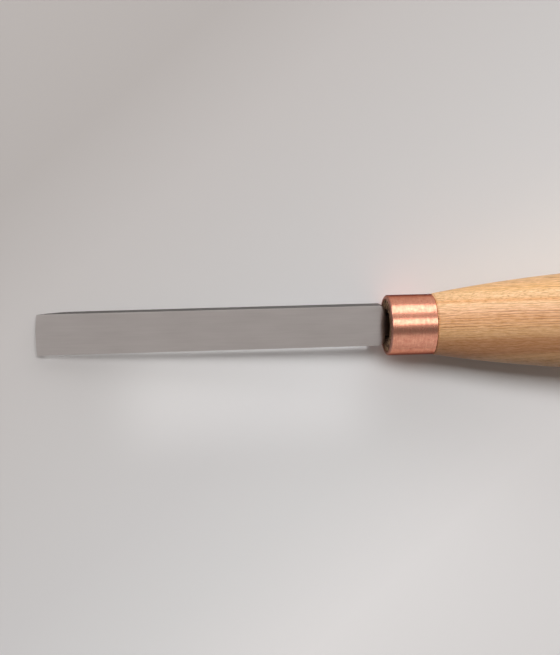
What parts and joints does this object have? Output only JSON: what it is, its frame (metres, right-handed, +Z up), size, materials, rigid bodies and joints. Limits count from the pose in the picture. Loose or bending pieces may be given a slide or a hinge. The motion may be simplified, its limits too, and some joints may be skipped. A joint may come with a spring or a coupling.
{
  "type": "carving chisel",
  "caption": "Woodcarving chisel with a flat steel blade, a copper ferrule and a turned ash handle, lying as it is put down on a bench.",
  "frame": {"origin": "centre of the tool's bounding box seen from above, on the bench that it lies on", "axes": "+Z up from the bench; +X along the tool from its cutting edge to its butt; +Y across the blade"},
  "size_m": [0.207, 0.026, 0.0286],
  "materials": {
    "ground_steel": "fine ground satin",
    "dark_resin": "cured, slightly glossy",
    "burnished_copper": "burnished round the tube",
    "oiled_ash": "turned, sanded and oiled"
  },
  "bodies": {
    "root": {"blade": "ground_steel", "tang_bedding": "dark_resin", "ferrule": "burnished_copper", "handle": "oiled_ash"}
  },
  "joints": []
}
